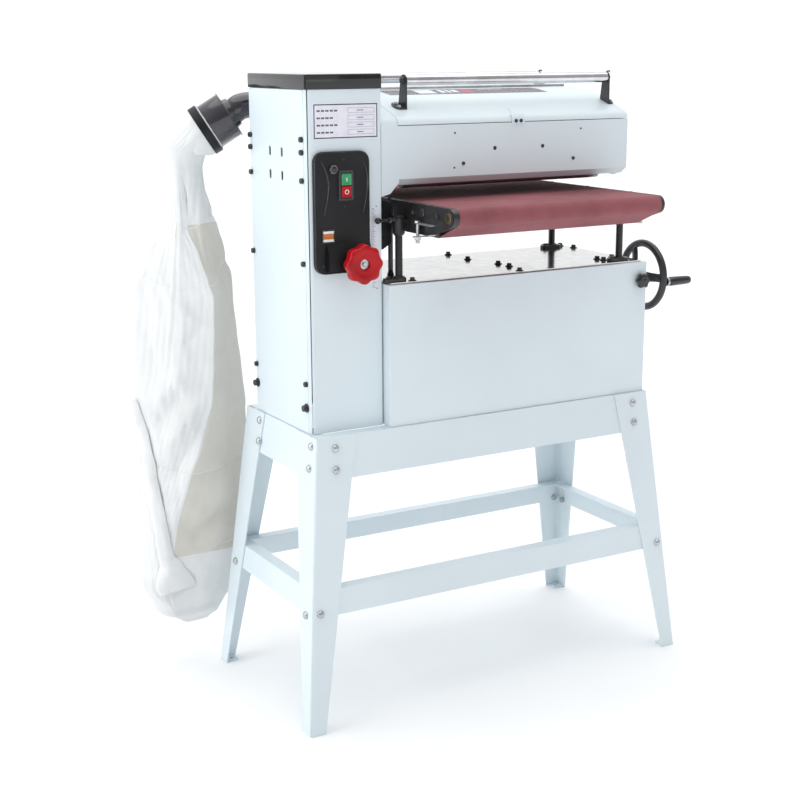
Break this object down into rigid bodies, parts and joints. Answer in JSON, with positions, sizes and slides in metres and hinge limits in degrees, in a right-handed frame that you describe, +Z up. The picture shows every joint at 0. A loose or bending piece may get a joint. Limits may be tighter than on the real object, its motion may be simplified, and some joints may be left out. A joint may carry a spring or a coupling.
{
  "type": "drum sander",
  "caption": "Open-ended feed-belt drum sander on a splayed sheet-steel stand, with a crank-raised table, a hinged dust hood and a hanging dust bag.",
  "frame": {"origin": "on the floor, under the middle of the whole machine's outline", "axes": "+Z up, +X to the operator's right along the drum, +Y away from the operator along the feed"},
  "size_m": [1.144, 0.6701, 1.28],
  "materials": {
    "white_paint": "satin powder coat, white with a faint cool tint",
    "black_paint": "satin black paint",
    "zinc_sheet": "bright zinc-plated sheet, slightly glossy",
    "black_plastic": "black moulded plastic",
    "green_plastic": "green push button",
    "red_plastic": "deep glossy red",
    "orange_plastic": "orange rocker",
    "abrasive_cloth": "maroon abrasive cloth",
    "drum_body": "aluminium drum wrapped with brown abrasive cloth",
    "cast_iron": "black-painted casting",
    "aluminium": "plain cast aluminium",
    "rubber": "black belt rubber",
    "steel": "turned steel",
    "chrome": "polished chrome tube",
    "bag_cloth": "off-white woven filter cloth"
  },
  "bodies": {
    "machine": {"leg_front_left": "white_paint", "leg_front_right": "white_paint", "leg_back_left": "white_paint", "leg_back_right": "white_paint", "top_rail_front": "white_paint", "top_rail_back": "white_paint", "top_rail_left": "white_paint", "top_rail_right": "white_paint", "stretcher_front": "white_paint", "stretcher_back": "white_paint", "stretcher_left": "white_paint", "stretcher_right": "white_paint", "drive_cabinet": "white_paint", "side_cover": "white_paint", "top_cap": "black_plastic", "lift_cabinet": "white_paint", "lift_top_plate": "zinc_sheet", "wiring_conduit": "black_plastic", "control_panel": "black_plastic", "switch_housing": "black_plastic", "head_shell": "white_paint", "roller_bracket_back_left": "black_paint", "roller_bracket_back_right": "black_paint", "drum_bearing_left": "cast_iron", "drum_bearing_right": "cast_iron", "main_motor": "aluminium", "drive_belt": "rubber", "lift_chain": "steel", "dust_elbow": "black_plastic", "bag_adaptor": "black_plastic", "bag_clamp": "black_plastic", "dust_bag": "bag_cloth"},
    "hood": {"dust_hood": "white_paint", "roller_bracket_front_left": "black_paint", "roller_bracket_front_right": "black_paint"},
    "front_return_roller": {"return_roller_front": "chrome"},
    "back_return_roller": {"return_roller_back": "chrome"},
    "drum": {"sanding_drum": "drum_body", "drum_pulley": "aluminium"},
    "motor_rotor": {"motor_pulley": "aluminium"},
    "front_pressure_roller": {"pressure_roller_front": "steel"},
    "back_pressure_roller": {"pressure_roller_back": "steel"},
    "table": {"table_frame": "cast_iron", "conveyor_belt": "abrasive_cloth", "feed_motor": "aluminium", "depth_pointer": "black_plastic"},
    "feed_idler": {"idler_roller": "steel"},
    "feed_drive": {"drive_roller": "steel"},
    "screw_front_left": {"lead_screw_front_left": "steel"},
    "screw_front_right": {"lead_screw_front_right": "steel"},
    "screw_back_left": {"lead_screw_back_left": "steel"},
    "screw_back_right": {"lead_screw_back_right": "steel"},
    "wheel": {"handwheel": "cast_iron"},
    "grip": {"handwheel_grip": "black_plastic"},
    "lock": {"lock_knob": "black_plastic"},
    "speed_knob": {"feed_speed_knob": "red_plastic"},
    "start": {"start_button": "green_plastic"},
    "stop": {"stop_button": "red_plastic"},
    "reset": {"reset_button": "black_plastic"},
    "rocker": {"rocker_switch": "orange_plastic"}
  },
  "joints": [
    {"name": "handwheel_turn", "type": "hinge", "parent": "machine", "child": "wheel", "pos_m": [0.50281, -0.12945, 0.836], "axis": [1, 0, 0], "range_deg": [-18000, 4250]},
    {"name": "table_lift", "type": "slide", "parent": "machine", "child": "table", "axis": [0, 0, 1], "range_m": [-0.08, 0.019]},
    {"name": "screw_front_left_turn", "type": "hinge", "parent": "machine", "child": "screw_front_left", "pos_m": [-0.14259, -0.15945, 0.9], "axis": [0, 0, 1], "range_deg": [-7200, 1800]},
    {"name": "screw_front_right_turn", "type": "hinge", "parent": "machine", "child": "screw_front_right", "pos_m": [0.40481, -0.15945, 0.9], "axis": [0, 0, 1], "range_deg": [-7200, 1800]},
    {"name": "screw_back_left_turn", "type": "hinge", "parent": "machine", "child": "screw_back_left", "pos_m": [-0.14259, 0.08855, 0.9], "axis": [0, 0, 1], "range_deg": [-7200, 1800]},
    {"name": "screw_back_right_turn", "type": "hinge", "parent": "machine", "child": "screw_back_right", "pos_m": [0.40481, 0.08855, 0.9], "axis": [0, 0, 1], "range_deg": [-7200, 1800]},
    {"name": "grip_spin", "type": "hinge", "parent": "wheel", "child": "grip", "pos_m": [0.54081, -0.19965, 0.829], "axis": [1, 0, 0], "continuous": true},
    {"name": "feed_drive_spin", "type": "hinge", "parent": "table", "child": "feed_drive", "pos_m": [0.13681, 0.24955, 1.016], "axis": [1, 0, 0], "continuous": true},
    {"name": "feed_idler_spin", "type": "hinge", "parent": "table", "child": "feed_idler", "pos_m": [0.13681, -0.32185, 1.016], "axis": [1, 0, 0], "continuous": true},
    {"name": "drum_spin", "type": "hinge", "parent": "machine", "child": "drum", "pos_m": [0.13681, -0.03145, 1.117], "axis": [1, 0, 0], "continuous": true},
    {"name": "motor_spin", "type": "hinge", "parent": "machine", "child": "motor_rotor", "pos_m": [-0.20419, -0.03145, 0.715], "axis": [1, 0, 0], "continuous": true},
    {"name": "front_pressure_roller_spin", "type": "hinge", "parent": "machine", "child": "front_pressure_roller", "pos_m": [0.13681, -0.11645, 1.071], "axis": [1, 0, 0], "continuous": true},
    {"name": "back_pressure_roller_spin", "type": "hinge", "parent": "machine", "child": "back_pressure_roller", "pos_m": [0.13681, 0.05355, 1.071], "axis": [1, 0, 0], "continuous": true},
    {"name": "hood_hinge", "type": "hinge", "parent": "machine", "child": "hood", "pos_m": [0.13681, 0.06755, 1.245], "axis": [-1, 0, 0], "range_deg": [0, 80]},
    {"name": "front_return_roller_spin", "type": "hinge", "parent": "hood", "child": "front_return_roller", "pos_m": [0.14981, -0.10545, 1.265], "axis": [1, 0, 0], "continuous": true},
    {"name": "back_return_roller_spin", "type": "hinge", "parent": "machine", "child": "back_return_roller", "pos_m": [0.12081, 0.10355, 1.265], "axis": [1, 0, 0], "continuous": true},
    {"name": "lock_turn", "type": "hinge", "parent": "machine", "child": "lock", "pos_m": [0.44381, -0.19445, 0.836], "axis": [0, 1, 0], "range_deg": [-180, 180]},
    {"name": "speed_knob_turn", "type": "hinge", "parent": "machine", "child": "speed_knob", "pos_m": [-0.24759, -0.19445, 0.9255], "axis": [0, 1, 0], "range_deg": [0, 280]},
    {"name": "start_press", "type": "slide", "parent": "machine", "child": "start", "axis": [0, 1, 0], "range_m": [0, 0.0025], "stiffness_N_per_m": 400, "springref_m": -0.003},
    {"name": "stop_press", "type": "slide", "parent": "machine", "child": "stop", "axis": [0, 1, 0], "range_m": [0, 0.0025], "stiffness_N_per_m": 400, "springref_m": -0.003},
    {"name": "reset_press", "type": "slide", "parent": "machine", "child": "reset", "axis": [0, 1, 0], "range_m": [0, 0.002], "stiffness_N_per_m": 400, "springref_m": -0.003},
    {"name": "rocker_tilt", "type": "hinge", "parent": "machine", "child": "rocker", "pos_m": [-0.30319, -0.16745, 0.978], "axis": [1, 0, 0], "range_deg": [-7, 7]}
  ],
  "couplings": [
    {"joint": "table_lift", "follows": "handwheel_turn", "m_per_rad": 0.00025465},
    {"joint": "screw_front_left_turn", "follows": "handwheel_turn", "ratio": 0.4},
    {"joint": "screw_front_right_turn", "follows": "handwheel_turn", "ratio": 0.4},
    {"joint": "screw_back_left_turn", "follows": "handwheel_turn", "ratio": 0.4},
    {"joint": "screw_back_right_turn", "follows": "handwheel_turn", "ratio": 0.4},
    {"joint": "motor_spin", "follows": "drum_spin", "ratio": 1.4706},
    {"joint": "feed_idler_spin", "follows": "feed_drive_spin", "ratio": 1}
  ]
}
